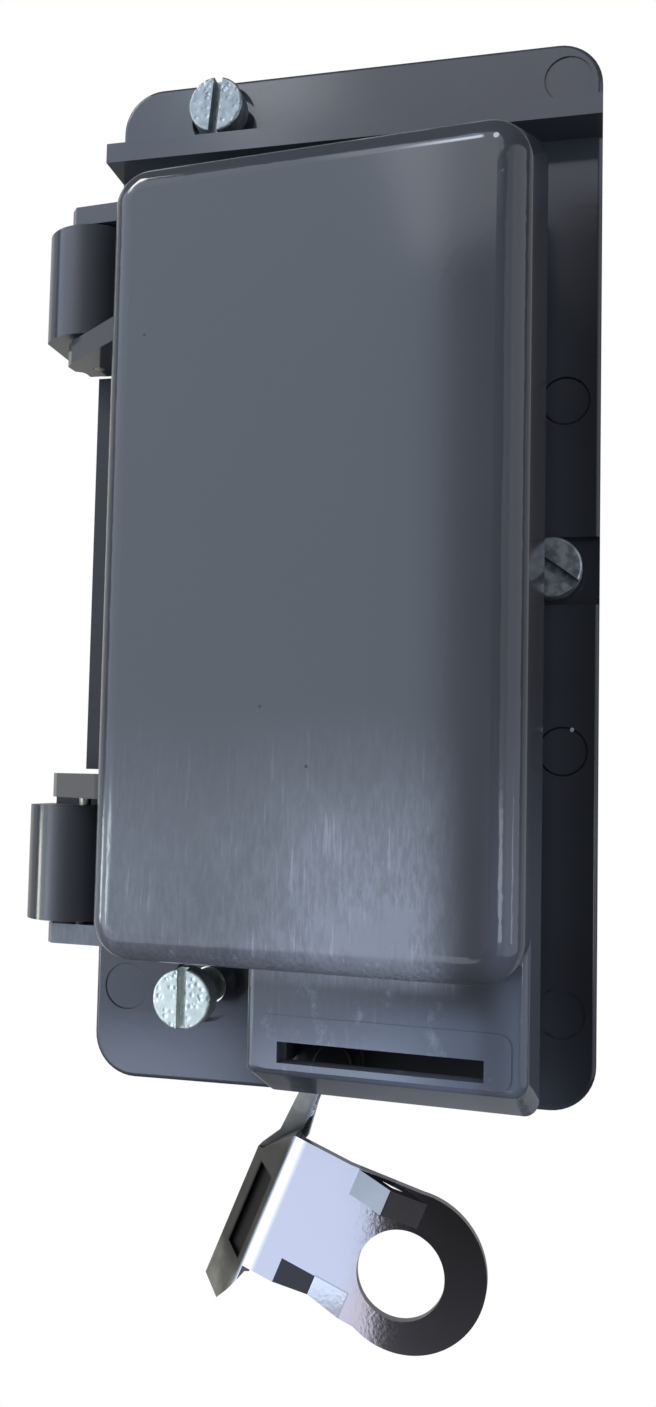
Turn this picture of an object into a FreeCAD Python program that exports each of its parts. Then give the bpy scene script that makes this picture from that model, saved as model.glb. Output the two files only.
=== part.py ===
import FreeCAD, Part
import os
import Sketcher

# Hinged electric meter box for a wall: a moulded base plate with a rain ledge and two
# hinge knuckles, a deep domed cover with a lower step and a slot for the locking hasp,
# three cheese-head wall screws, and a four-way terminal block behind the cover.
# Frame: X to the right, Z up, front towards -Y, origin in the middle of the wall face.
# A "reach" is a distance from the wall towards the front, so it lies at Y = -reach.

doc = FreeCAD.newDocument("meter_box")
dims = doc.addObject("Spreadsheet::Sheet", "dims")

SIZES = [
    # Base plate
    ("plate_width", 87.0),
    ("plate_height", 180.0),
    ("plate_thick", 4.0),
    ("plate_corner", 7.5),
    ("plate_round", 0.8),
    # Rain ledge across the top and the seat strip on the hinge side
    ("seat_rise", 7.4),
    ("ledge_bottom", 72.8),
    ("ledge_tall", 3.5),
    ("strip_width", 13.5),
    ("strip_half", 34.6),
    # Middle height of the cover, the hinges and the right wall screw
    ("middle", -1.4),
    # Hinge pins, knuckles on the base and ears on the cover
    ("pin_side", -42.3),
    ("pin_reach", 14.0),
    ("pin_radius", 1.0),
    ("pin_play", 0.08),
    ("knuckle_left", -51.8),
    ("knuckle_right", -36.9),
    ("knuckle_crown", 8.7),
    ("knuckle_centre", -44.5),
    ("knuckle_centre_reach", 10.3),
    ("knuckle_start", 40.8),
    ("knuckle_long", 19.3),
    ("knuckle_foot", 1.6),
    ("tab_left", -50.4),
    ("tab_reach", 8.2),
    ("upper_drop", 0.7),
    ("ear_side", 4.8),
    ("ear_radius", 3.8),
    ("ear_chamfer", 1.4),
    ("ear_thick_inner", 4.0),
    ("ear_thick_outer", 3.3),
    ("ear_gap_inner", 1.4),
    ("ear_gap_outer", 0.5),
    ("gusset_reach", 27.6),
    # Cover: rear rim, front face, and the lower step with its slot
    ("rim_gap", 0.3),
    ("ajar", 5.0),
    ("cover_deep", 18.3),
    ("rim_left", -33.4),
    ("rim_right", 35.2),
    ("rim_top", 67.7),
    ("rim_bottom", -87.2),
    ("side_draft", 0.5),
    ("top_slope", 7.9),
    ("foot_slope", 9.4),
    ("dome_bottom", -65.8),
    ("dome_corner", 6.5),
    ("dome_round", 4.6),
    ("step_deep", 10.5),
    ("step_left", -8.7),
    ("step_corner", 2.4),
    ("step_round", 1.4),
    ("wall", 2.5),
    ("slot_left", -3.3),
    ("slot_wide", 31.9),
    ("slot_bottom", -80.2),
    ("slot_tall", 3.2),
    ("slot_frame", 4.0),
    ("slot_frame_rise", 0.15),
    ("rib_thick", 2.4),
    ("rib_bottom", -84.0),
    # Upstand inside the cover
    ("upstand_left", -28.2),
    ("upstand_right", 30.4),
    ("upstand_top", 58.0),
    ("upstand_bottom", -59.5),
    ("upstand_rise", 13.0),
    ("upstand_thick", 2.2),
    ("upstand_corner", 6.0),
    # Wall screws with slotted cheese heads, and their recesses in the plate
    ("screw_radius", 3.0),
    ("head_radius", 5.0),
    ("head_tall", 3.9),
    ("head_round", 0.4),
    ("drive_wide", 1.6),
    ("drive_deep", 1.8),
    ("hole_play", 0.3),
    ("recess_radius", 6.0),
    ("recess_deep", 2.0),
    ("tip_gap", 0.2),
    ("top_screw_side", -24.1),
    ("top_screw_level", 83.2),
    ("top_screw_seat", 5.0),
    ("right_screw_side", 35.7),
    ("right_screw_seat", 4.4),
    ("bottom_screw_side", -23.3),
    ("bottom_screw_level", -73.6),
    ("bottom_screw_seat", 12.0),
    # Round ejector marks of the moulding tool
    ("mark_radius", 4.0),
    ("mark_deep", 0.2),
    ("mark_inset", 5.8),
    # Hasp of pressed steel sheet, hanging on a shouldered rivet
    ("sheet", 1.4),
    ("rivet_side", 0.7),
    ("rivet_level", -84.0),
    ("rivet_radius", 1.8),
    ("rivet_play", 0.1),
    ("rivet_head", 3.4),
    ("rivet_head_tall", 1.2),
    ("boss_radius", 4.6),
    ("boss_rise", 1.6),
    ("washer_thick", 0.5),
    ("hasp_angle", 22.0),
    ("tail_eye", 3.6),
    ("tail_side", 0.1),
    ("tail_wide", 3.0),
    ("bend_top", -11.2),
    ("bend_bottom", -34.0),
    ("plate_forward", 7.6),
    ("flange_side", -5.2),
    ("flange_top", -18.0),
    ("flange_bottom", -41.8),
    ("recess_left", -4.3),
    ("recess_right", -1.3),
    ("recess_head", -19.5),
    ("recess_foot", -33.8),
    ("recess_depth", 0.6),
    ("end_side", 24.2),
    ("end_level", -22.3),
    ("end_radius", 12.5),
    ("eye_side", 23.4),
    ("eye_level", -23.2),
    ("eye_radius", 7.0),
    ("bump_deep", 2.0),
    ("bump_tall", 4.2),
    ("upper_bump", 11.2),
    ("upper_bump_wide", 11.6),
    ("lower_bump", 5.4),
    ("lower_bump_wide", 11.6),
    # Terminal block and its fittings
    ("block_level", -22.0),
    ("block_half", 20.0),
    ("block_tall", 27.0),
    ("block_rise", 14.5),
    ("slab_half", 25.2),
    ("slab_thick", 4.0),
    ("way_pitch", 9.6),
    ("way_wide", 7.4),
    ("brass_wide", 6.8),
    ("brass_long", 21.0),
    ("brass_tall", 7.2),
    ("wire_radius", 2.1),
    ("clamp_spacing", 12.0),
    ("clamp_radius", 1.5),
    ("clamp_head", 2.6),
    ("clamp_head_tall", 2.2),
    ("clamp_long", 5.0),
    ("fixing_side", 22.6),
    ("fixing_radius", 1.5),
    ("fixing_head", 2.3),
    # Cable entry in the floor and its rubber grommet
    ("entry_level", 26.0),
    ("entry_radius", 10.0),
    ("grommet_bore", 6.5),
    ("grommet_lip", 2.2),
    ("grommet_lip_thick", 1.6),
]
for row, (alias, value) in enumerate(SIZES, start=1):
    dims.set("A%d" % row, alias)
    dims.set("B%d" % row, str(value))
    dims.setAlias("B%d" % row, alias)
doc.recompute()


def number(expression):
    """The value of an expression on the cells, in mm."""
    return float(dims.evalExpression(expression))


def body(name):
    """A new empty body with its own label."""
    new = doc.addObject("PartDesign::Body", name)
    new.Label = name
    return new


class Outline:
    """A sketch on one of a body's own planes, every place in it bound to the cells."""

    def __init__(self, owner, role, name, offset):
        self.sketch = owner.newObject("Sketcher::SketchObject", name)
        plane = [f for f in owner.Origin.OriginFeatures if f.Role == role][0]
        self.sketch.AttachmentSupport = [(plane, "")]
        self.sketch.MapMode = "FlatFace"
        self.sketch.setExpression("AttachmentOffset.Base.z", offset)

    def place(self, kind, geometry, point, expression):
        """Hold one point of the sketch at a distance from the origin."""
        index = self.sketch.addConstraint(
            Sketcher.Constraint(kind, -1, 1, geometry, point, number(expression)))
        self.sketch.setExpression("Constraints[%d]" % index, expression)

    def rectangle(self, left, right, bottom, top):
        """A plain rectangle."""
        self.polygon([(left, bottom), (right, bottom), (right, top), (left, top)])

    def polygon(self, corners):
        """A closed outline of straight lines through corners, each an (x, y) pair."""
        points = [FreeCAD.Vector(number(x), number(y), 0) for x, y in corners]
        first = self.sketch.GeometryCount
        for here, there in zip(points, points[1:] + points[:1]):
            self.sketch.addGeometry(Part.LineSegment(here, there), False)
        for i, (x, y) in enumerate(corners):
            before = first + (i - 1) % len(corners)
            self.sketch.addConstraint(Sketcher.Constraint("Coincident", before, 2, first + i, 1))
            self.place("DistanceX", first + i, 1, x)
            self.place("DistanceY", first + i, 1, y)

    def rounded(self, left, right, bottom, top, radius):
        """A rectangle with four equal round corners."""
        x0, x1, y0, y1, r = [number(v) for v in (left, right, bottom, top, radius)]
        first = self.sketch.GeometryCount
        quarter = 1.5707963267948966
        runs = [((x0 + r, y0), (x1 - r, y0), (x1 - r, y0 + r), -1),
                ((x1, y0 + r), (x1, y1 - r), (x1 - r, y1 - r), 0),
                ((x1 - r, y1), (x0 + r, y1), (x0 + r, y1 - r), 1),
                ((x0, y1 - r), (x0, y0 + r), (x0 + r, y0 + r), 2)]
        for start, end, centre, turns in runs:
            line = Part.LineSegment(FreeCAD.Vector(*start, 0), FreeCAD.Vector(*end, 0))
            self.sketch.addGeometry(line, False)
            circle = Part.Circle(FreeCAD.Vector(*centre, 0), FreeCAD.Vector(0, 0, 1), r)
            arc = Part.ArcOfCircle(circle, turns * quarter, (turns + 1) * quarter)
            self.sketch.addGeometry(arc, False)
        for i in range(4):
            line = first + 2 * i
            following = first + (2 * i + 2) % 8
            self.sketch.addConstraint(Sketcher.Constraint("Tangent", line, 2, line + 1, 1))
            self.sketch.addConstraint(Sketcher.Constraint("Tangent", line + 1, 2, following, 1))
            straight = "Horizontal" if i % 2 == 0 else "Vertical"
            self.sketch.addConstraint(Sketcher.Constraint(straight, line))
            if i:
                self.sketch.addConstraint(Sketcher.Constraint("Equal", first + 1, line + 1))
        self.place("DistanceY", first, 1, bottom)
        self.place("DistanceX", first + 2, 1, right)
        self.place("DistanceY", first + 4, 1, top)
        self.place("DistanceX", first + 6, 1, left)
        index = self.sketch.addConstraint(Sketcher.Constraint("Radius", first + 1, r))
        self.sketch.setExpression("Constraints[%d]" % index, radius)

    def circle(self, x, y, radius):
        """A full circle."""
        centre = FreeCAD.Vector(number(x), number(y), 0)
        shape = Part.Circle(centre, FreeCAD.Vector(0, 0, 1), number(radius))
        index = self.sketch.addGeometry(shape, False)
        self.place("DistanceX", index, 3, x)
        self.place("DistanceY", index, 3, y)
        held = self.sketch.addConstraint(Sketcher.Constraint("Radius", index, number(radius)))
        self.sketch.setExpression("Constraints[%d]" % held, radius)

    def domed(self, left, right, foot, centre_x, centre_y, radius):
        """Two straight walls and a foot, closed by an arc above them (a knuckle's section)."""
        x0, x1, yf, cx, cy, r = [number(v) for v in (left, right, foot, centre_x, centre_y, radius)]
        centre = FreeCAD.Vector(cx, cy, 0)
        high = [FreeCAD.Vector(x, cy - (r * r - (x - cx) ** 2) ** 0.5, 0) for x in (x0, x1)]
        low = [FreeCAD.Vector(x, yf, 0) for x in (x0, x1)]
        circle = Part.Circle(centre, FreeCAD.Vector(0, 0, 1), r)
        arc = Part.ArcOfCircle(circle, circle.parameter(high[0]), circle.parameter(high[1]))
        first = self.sketch.addGeometry(Part.LineSegment(low[1], low[0]), False)
        self.sketch.addGeometry(Part.LineSegment(low[0], high[0]), False)
        self.sketch.addGeometry(arc, False)
        self.sketch.addGeometry(Part.LineSegment(high[1], low[1]), False)
        for a, pa, b, pb in ((0, 2, 1, 1), (1, 2, 2, 1), (2, 2, 3, 1), (3, 2, 0, 1)):
            self.sketch.addConstraint(Sketcher.Constraint("Coincident", first + a, pa, first + b, pb))
        self.sketch.addConstraint(Sketcher.Constraint("Horizontal", first))
        self.sketch.addConstraint(Sketcher.Constraint("Vertical", first + 1))
        self.sketch.addConstraint(Sketcher.Constraint("Vertical", first + 3))
        self.place("DistanceX", first, 2, left)
        self.place("DistanceX", first, 1, right)
        self.place("DistanceY", first, 1, foot)
        self.place("DistanceX", first + 2, 3, centre_x)
        self.place("DistanceY", first + 2, 3, centre_y)
        held = self.sketch.addConstraint(Sketcher.Constraint("Radius", first + 2, r))
        self.sketch.setExpression("Constraints[%d]" % held, radius)


def front_outline(owner, name, reach):
    """A sketch that faces the front, at a reach from the wall: its axes are X and Z."""
    return Outline(owner, "XZ_Plane", name, reach)


def level_outline(owner, name, level):
    """A sketch that faces up, at a height: its axes are X and Y."""
    return Outline(owner, "XY_Plane", name, level)


def grow(owner, outline, name, length, cut=False, backwards=False):
    """Pad or pocket an outline; the length is an expression."""
    kind = "PartDesign::Pocket" if cut else "PartDesign::Pad"
    feature = owner.newObject(kind, name)
    feature.Profile = outline.sketch
    feature.setExpression("Length", length)
    feature.Reversed = backwards
    outline.sketch.Visibility = False
    doc.recompute()
    return feature


def loft(owner, name, near, far, cut=False):
    """Join two outlines by straight walls, added or cut away."""
    kind = "PartDesign::SubtractiveLoft" if cut else "PartDesign::AdditiveLoft"
    feature = owner.newObject(kind, name)
    feature.Profile = near.sketch
    feature.Sections = [far.sketch]
    feature.Ruled = True
    doc.recompute()
    return feature


def soften(owner, name, base, radius, wanted):
    """Round the edges of a feature that a test picks out."""
    edges = ["Edge%d" % (i + 1) for i, e in enumerate(base.Shape.Edges) if wanted(e)]
    feature = owner.newObject("PartDesign::Fillet", name)
    feature.Base = (base, edges)
    feature.setExpression("Radius", radius)
    doc.recompute()
    return feature


def edge_middle(edge):
    """The point halfway along an edge."""
    return edge.valueAt((edge.FirstParameter + edge.LastParameter) / 2)


def around_middle(start, length, upper):
    """The lowest level of a hinge piece that lies above or below the middle height."""
    if upper:
        return "dims.middle - dims.upper_drop + %s" % start
    return "dims.middle - (%s) - (%s)" % (start, length)


# Places worked out from the sizes, as expressions
HALF_WIDTH = "dims.plate_width / 2"
HALF_HEIGHT = "dims.plate_height / 2"
SEAT = "dims.plate_thick + dims.seat_rise"
RIM = SEAT + " + dims.rim_gap"
FRONT = RIM + " + dims.cover_deep"
STEP_FRONT = RIM + " + dims.step_deep"
KNUCKLE_END = "dims.knuckle_start + dims.knuckle_long"
INNER_EAR = {True: "dims.knuckle_start - dims.ear_gap_inner - dims.ear_thick_inner + dims.upper_drop",
             False: "dims.knuckle_start - dims.ear_gap_inner - dims.ear_thick_inner"}
OUTER_EAR = KNUCKLE_END + " + dims.ear_gap_outer"


# Base: plate, rain ledge, seat strip, upstand and hinge knuckles in one moulding
base = body("base")
sheet_outline = front_outline(base, "plate_outline", "0")
sheet_outline.rounded("-" + HALF_WIDTH, HALF_WIDTH, "-" + HALF_HEIGHT, HALF_HEIGHT,
                      "dims.plate_corner")
plate = grow(base, sheet_outline, "plate", "dims.plate_thick")
plate_front = -number("dims.plate_thick")
soften(base, "plate_rounding", plate, "dims.plate_round",
       lambda e: abs(edge_middle(e).y - plate_front) < 0.01)

ledge = front_outline(base, "ledge_outline", "dims.plate_thick / 2")
ledge.rectangle("-" + HALF_WIDTH, HALF_WIDTH, "dims.ledge_bottom",
                "dims.ledge_bottom + dims.ledge_tall")
grow(base, ledge, "ledge", "dims.seat_rise + dims.plate_thick / 2")

strip = front_outline(base, "strip_outline", "dims.plate_thick / 2")
strip.rectangle("-" + HALF_WIDTH, "dims.strip_width - " + HALF_WIDTH,
                "dims.middle - dims.strip_half", "dims.middle + dims.strip_half")
grow(base, strip, "seat_strip", "dims.seat_rise + dims.plate_thick / 2")

upstand = front_outline(base, "upstand_outline", "dims.plate_thick / 2")
upstand.rounded("dims.upstand_left", "dims.upstand_right", "dims.upstand_bottom",
                "dims.upstand_top", "dims.upstand_corner")
upstand.rounded("dims.upstand_left + dims.upstand_thick",
                "dims.upstand_right - dims.upstand_thick",
                "dims.upstand_bottom + dims.upstand_thick",
                "dims.upstand_top - dims.upstand_thick",
                "dims.upstand_corner - dims.upstand_thick")
grow(base, upstand, "upstand", "dims.upstand_rise + dims.plate_thick / 2")

rib = front_outline(base, "rib_outline", "dims.plate_thick / 2")
rib.rectangle("dims.step_left", "dims.step_left + dims.rib_thick", "dims.rib_bottom",
              "dims.upstand_bottom + dims.upstand_thick / 2")
grow(base, rib, "step_rib", "dims.seat_rise + dims.plate_thick / 2")

boss = front_outline(base, "boss_outline", "dims.plate_thick / 2")
boss.circle("dims.rivet_side", "dims.rivet_level", "dims.boss_radius")
grow(base, boss, "rivet_boss", "dims.boss_rise + dims.plate_thick / 2")

for word, upper in (("upper", True), ("lower", False)):
    foot = "(dims.knuckle_foot - dims.upper_drop)" if upper else "dims.knuckle_foot"
    tab_start = "dims.knuckle_start - " + foot
    tab_long = "dims.knuckle_long + 2 * " + foot
    low = around_middle(tab_start, tab_long, upper)
    tab = front_outline(base, word + "_tab_outline", "0")
    tab.rectangle("dims.tab_left", "dims.knuckle_right", low, low + " + " + tab_long)
    grow(base, tab, word + "_tab", "dims.tab_reach")
    low = around_middle("dims.knuckle_start", "dims.knuckle_long", upper)
    knuckle = level_outline(base, word + "_knuckle_outline", low)
    knuckle.domed("dims.knuckle_left", "dims.knuckle_right", "-dims.plate_thick",
                  "dims.knuckle_centre", "-dims.knuckle_centre_reach", "dims.knuckle_crown")
    grow(base, knuckle, word + "_knuckle", "dims.knuckle_long")
    bore = level_outline(base, word + "_pin_bore_outline", low)
    bore.circle("dims.pin_side", "-dims.pin_reach", "dims.pin_radius")
    grow(base, bore, word + "_pin_bore", "dims.knuckle_long", cut=True, backwards=True)

SCREWS = [
    ("top_wall_screw", "dims.top_screw_side", "dims.top_screw_level", "dims.top_screw_seat", 5.4),
    ("right_wall_screw", "dims.right_screw_side", "dims.middle", "dims.right_screw_seat", 126.0),
    ("bottom_wall_screw", "dims.bottom_screw_side", "dims.bottom_screw_level",
     "dims.bottom_screw_seat", 0.0),
]
recesses = front_outline(base, "recess_outline", "dims.plate_thick")
holes = front_outline(base, "hole_outline", "dims.plate_thick")
for name, side, level, seat, turn in SCREWS:
    if name != "right_wall_screw":
        recesses.circle(side, level, "dims.recess_radius")
        holes.circle(side, level, "dims.screw_radius + dims.hole_play")
recesses.rounded("dims.right_screw_side - dims.recess_radius",
                 HALF_WIDTH + " + dims.recess_radius",
                 "dims.middle - dims.recess_radius + dims.hole_play",
                 "dims.middle + dims.recess_radius - dims.hole_play",
                 "dims.recess_radius / 2")
holes.rounded("dims.right_screw_side - dims.screw_radius - dims.hole_play",
              "dims.right_screw_side + dims.screw_radius + dims.hole_play + 1",
              "dims.middle - dims.screw_radius - dims.hole_play",
              "dims.middle + dims.screw_radius + dims.hole_play",
              "dims.screw_radius")
holes.circle("dims.rivet_side", "dims.rivet_level", "dims.rivet_radius")
for side in ("-dims.fixing_side", "dims.fixing_side"):
    holes.circle(side, "dims.block_level", "dims.fixing_radius")
holes.circle("0", "dims.entry_level", "dims.entry_radius")
grow(base, recesses, "screw_recesses", "dims.recess_deep", cut=True)
grow(base, holes, "through_holes", "dims.plate_thick", cut=True)
boss_bore = front_outline(base, "boss_bore_outline", "dims.plate_thick + dims.boss_rise")
boss_bore.circle("dims.rivet_side", "dims.rivet_level", "dims.rivet_radius")
grow(base, boss_bore, "boss_bore", "dims.boss_rise", cut=True)

marks = front_outline(base, "mark_outline", "dims.plate_thick")
MARK_SIDE = HALF_WIDTH + " - dims.mark_inset"
for level in ("83.6", "27.5", "-31.5", "-74.4"):
    marks.circle(MARK_SIDE, level, "dims.mark_radius")
marks.circle("dims.mark_inset - " + HALF_WIDTH, "-74.2", "dims.mark_radius")
grow(base, marks, "ejector_marks", "dims.mark_deep", cut=True)


# Cover: domed cap with sloping ends, a lower step with the hasp slot, and four hinge ears
cover = body("cover")
STEP_SHARE = "dims.step_deep / dims.cover_deep"
STEP_TOP = "dims.dome_bottom + dims.dome_corner + 1"
low_rim = front_outline(cover, "step_rim_outline", RIM)
low_rim.rectangle("dims.step_left", "dims.rim_right", "dims.rim_bottom", STEP_TOP)
low_face = front_outline(cover, "step_face_outline", STEP_FRONT)
low_face.rectangle("dims.step_left", "dims.rim_right - dims.side_draft * " + STEP_SHARE,
                   "dims.rim_bottom + dims.foot_slope * " + STEP_SHARE, STEP_TOP)
step = loft(cover, "step", low_rim, low_face)
step_y = -number(STEP_FRONT)
step_left = number("dims.step_left")
step_top = number(STEP_TOP)
corner = soften(cover, "step_corner", step, "dims.step_corner",
                lambda e: abs(e.tangentAt(e.FirstParameter).y) > 0.5
                and edge_middle(e).z < step_top - 10 and edge_middle(e).x > step_left + 1)
soften(cover, "step_rounding", corner, "dims.step_round",
       lambda e: (abs(edge_middle(e).y - step_y) < 0.01 and edge_middle(e).z < step_top - 0.1)
       or (abs(edge_middle(e).x - step_left) < 0.01 and edge_middle(e).z < step_top - 15
           and abs(edge_middle(e).y - step_y) < 8))

rim = front_outline(cover, "rim_outline", RIM)
rim.rounded("dims.rim_left", "dims.rim_right", "dims.dome_bottom", "dims.rim_top",
            "dims.dome_corner")
face = front_outline(cover, "face_outline", FRONT)
face.rounded("dims.rim_left + dims.side_draft", "dims.rim_right - dims.side_draft",
             "dims.dome_bottom", "dims.rim_top - dims.top_slope", "dims.dome_corner")
dome = loft(cover, "dome", rim, face)
front_y = -number(FRONT)
soften(cover, "dome_rounding", dome, "dims.dome_round",
       lambda e: abs(edge_middle(e).y - front_y) < 0.01)

EAR_LEFT = "dims.pin_side - dims.ear_side"
EAR_BACK = "-dims.pin_reach + dims.ear_radius"
EAR_TIP = "-dims.pin_reach - dims.ear_radius"
for word, upper in (("upper", True), ("lower", False)):
    for place, start, thick, root, tip in (
            ("outer", OUTER_EAR, "dims.ear_thick_outer", "dims.rim_left + dims.dome_corner", EAR_TIP),
            ("inner", INNER_EAR[upper], "dims.ear_thick_inner", "dims.rim_left + dims.wall",
             "-dims.gusset_reach")):
        low = around_middle(start, thick, upper)
        arm = level_outline(cover, word + place + "_arm_outline", low)
        arm.polygon([("dims.pin_side", EAR_BACK), (root, EAR_BACK), (root, tip),
                     (EAR_LEFT + " + dims.ear_chamfer", EAR_TIP),
                     (EAR_LEFT, EAR_TIP + " + dims.ear_chamfer"), (EAR_LEFT, "-dims.pin_reach")])
        grow(cover, arm, word + place + "_arm", thick)
        eye = level_outline(cover, word + place + "_eye_outline", low)
        eye.circle("dims.pin_side", "-dims.pin_reach", "dims.ear_radius")
        grow(cover, eye, word + place + "_eye", thick)
        bore = level_outline(cover, word + place + "_bore_outline", low)
        bore.circle("dims.pin_side", "-dims.pin_reach", "dims.pin_radius + dims.pin_play")
        grow(cover, bore, word + place + "_bore", thick, cut=True, backwards=True)

inner_rim = front_outline(cover, "inner_rim_outline", RIM)
inner_rim.rounded("dims.rim_left + dims.wall", "dims.rim_right - dims.wall",
                  "dims.dome_bottom + dims.wall", "dims.rim_top - 1.2 * dims.wall",
                  "dims.dome_corner - dims.wall")
inner_face = front_outline(cover, "inner_face_outline", FRONT + " - dims.wall")
inner_face.rounded("dims.rim_left + dims.side_draft + dims.wall",
                   "dims.rim_right - dims.side_draft - dims.wall",
                   "dims.dome_bottom + dims.wall",
                   "dims.rim_top - dims.top_slope - 1.2 * dims.wall",
                   "dims.dome_corner - dims.wall")
loft(cover, "cavity", inner_rim, inner_face, cut=True)
INNER_SHARE = "(dims.step_deep - dims.wall) / dims.cover_deep"
step_back = front_outline(cover, "step_back_outline", RIM)
step_back.rectangle("dims.step_left + dims.wall", "dims.rim_right - dims.wall",
                    "dims.rim_bottom + 1.2 * dims.wall", "dims.dome_bottom + dims.wall + 1")
step_roof = front_outline(cover, "step_roof_outline", STEP_FRONT + " - dims.wall")
step_roof.rectangle("dims.step_left + dims.wall",
                    "dims.rim_right - dims.wall - dims.side_draft * " + INNER_SHARE,
                    "dims.rim_bottom + 1.2 * dims.wall + dims.foot_slope * " + INNER_SHARE,
                    "dims.dome_bottom + dims.wall + 1")
loft(cover, "step_cavity", step_back, step_roof, cut=True)

frame = front_outline(cover, "slot_frame_outline", STEP_FRONT + " - dims.wall / 2")
frame.rounded("dims.slot_left - dims.slot_frame",
              "dims.slot_left + dims.slot_wide + dims.slot_frame",
              "dims.slot_bottom - dims.slot_frame / 4",
              "dims.slot_bottom + dims.slot_tall + dims.slot_frame", "dims.slot_frame / 2")
grow(cover, frame, "slot_frame", "dims.wall / 2 + dims.slot_frame_rise")
slot = front_outline(cover, "slot_outline", STEP_FRONT + " + dims.wall")
slot.rectangle("dims.slot_left", "dims.slot_left + dims.slot_wide", "dims.slot_bottom",
               "dims.slot_bottom + dims.slot_tall")
grow(cover, slot, "hasp_slot", "3 * dims.wall", cut=True)

# The cover stands a little ajar, turned about its pins
cover.setExpression("Placement.Base.x", "dims.pin_side * (1 - cos(dims.ajar)) + dims.pin_reach "
                    "* sin(dims.ajar)")
cover.setExpression("Placement.Base.y", "dims.pin_side * sin(dims.ajar) - dims.pin_reach "
                    "* (1 - cos(dims.ajar))")
cover.setExpression("Placement.Rotation.Angle", "-dims.ajar")


# Hinge pins: plain steel rod from the outer ear through the knuckle to the inner ear
for word, upper in (("upper", True), ("lower", False)):
    pin = body(word + "_hinge_pin")
    length = OUTER_EAR + " + dims.ear_thick_outer - (" + INNER_EAR[upper] + ")"
    low = around_middle(INNER_EAR[upper], length, upper)
    rod = level_outline(pin, word + "_rod_outline", low)
    rod.circle("dims.pin_side", "-dims.pin_reach", "dims.pin_radius")
    grow(pin, rod, word + "_rod", length)


def slotted_screw(name, side, level, seat, tip, radius, head, head_tall, turn):
    """A screw that points at the wall: shank, round head, and a driver slot across it."""
    screw = body(name)
    shank = front_outline(screw, name + "_shank_outline", tip)
    shank.circle("0", "0", radius)
    grow(screw, shank, name + "_shank", "%s - (%s)" % (seat, tip))
    cap = front_outline(screw, name + "_head_outline", seat)
    cap.circle("0", "0", head)
    top = grow(screw, cap, name + "_head", head_tall)
    crown = -number("%s + %s" % (seat, head_tall))
    soften(screw, name + "_rounding", top, "dims.head_round",
           lambda e: abs(edge_middle(e).y - crown) < 0.01)
    drive = front_outline(screw, name + "_drive_outline", "%s + %s" % (seat, head_tall))
    share = "(%s) / dims.head_radius" % head
    drive.rectangle("-dims.drive_wide / 2 * " + share, "dims.drive_wide / 2 * " + share,
                    "-1.2 * (%s)" % head, "1.2 * (%s)" % head)
    grow(screw, drive, name + "_drive", "dims.drive_deep * (%s) / dims.head_tall" % head_tall,
         cut=True)
    screw.setExpression("Placement.Base.x", side)
    screw.setExpression("Placement.Base.z", level)
    screw.Placement.Rotation = FreeCAD.Rotation(FreeCAD.Vector(0, 1, 0), turn)
    return screw


# Wall screws: slotted cheese heads standing proud of the plate, as far out as in use
for name, side, level, seat, turn in SCREWS:
    slotted_screw(name, side, level, seat, "dims.tip_gap", "dims.screw_radius",
                  "dims.head_radius", "dims.head_tall", turn)


# Hasp: one folded steel sheet, a tail on the rivet, a slanting flange with a long recess, and a
# plate with an eye and two pressed strips
HASP_BACK = "dims.plate_thick + dims.boss_rise"
TAIL_FRONT = HASP_BACK + " + dims.sheet"
PLATE_BACK = HASP_BACK + " + dims.plate_forward"
hasp = body("hasp")
flange = level_outline(hasp, "flange_outline", "dims.flange_bottom")
flange.polygon([("dims.flange_side - 1", "-(" + HASP_BACK + ")"),
                ("dims.flange_side + 1", "-(" + HASP_BACK + ")"),
                ("1.2", "-(" + PLATE_BACK + ")"),
                ("0", "-(" + PLATE_BACK + " + dims.sheet)"),
                ("-0.6", "-(" + PLATE_BACK + " + dims.sheet)"),
                ("dims.flange_side - 1", "-(" + TAIL_FRONT + ")")])
grow(hasp, flange, "flange", "dims.bend_top - dims.flange_bottom")
trims = front_outline(hasp, "trim_outline", PLATE_BACK + " + 2 * dims.sheet")
trims.polygon([("dims.flange_side - 2", "dims.bend_top + 1"), ("0", "dims.bend_top + 1"),
               ("-0.3", "dims.bend_top"), ("dims.flange_side", "dims.flange_top"),
               ("dims.flange_side - 2", "dims.flange_top - 1")])
trims.polygon([("2", "dims.bend_bottom - 1"), ("0.6", "dims.bend_bottom - 1"),
               ("-1", "(dims.bend_bottom + 2 * dims.flange_bottom) / 3"),
               ("dims.flange_side / 2", "dims.flange_bottom - 1"),
               ("2", "dims.flange_bottom - 1")])
grow(hasp, trims, "flange_trims", "dims.plate_forward + 4 * dims.sheet", cut=True)


def on_flange(x, inward):
    """A point of the flange's section: on its outer face, or set in from it."""
    slope = "dims.plate_forward / (0.4 - dims.flange_side)"
    level = "-(%s) - (%s - dims.flange_side + 1) * %s" % (TAIL_FRONT, x, slope)
    return "%s + 0.8 * %s" % (x, inward), "%s + 0.6 * %s" % (level, inward)


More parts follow.
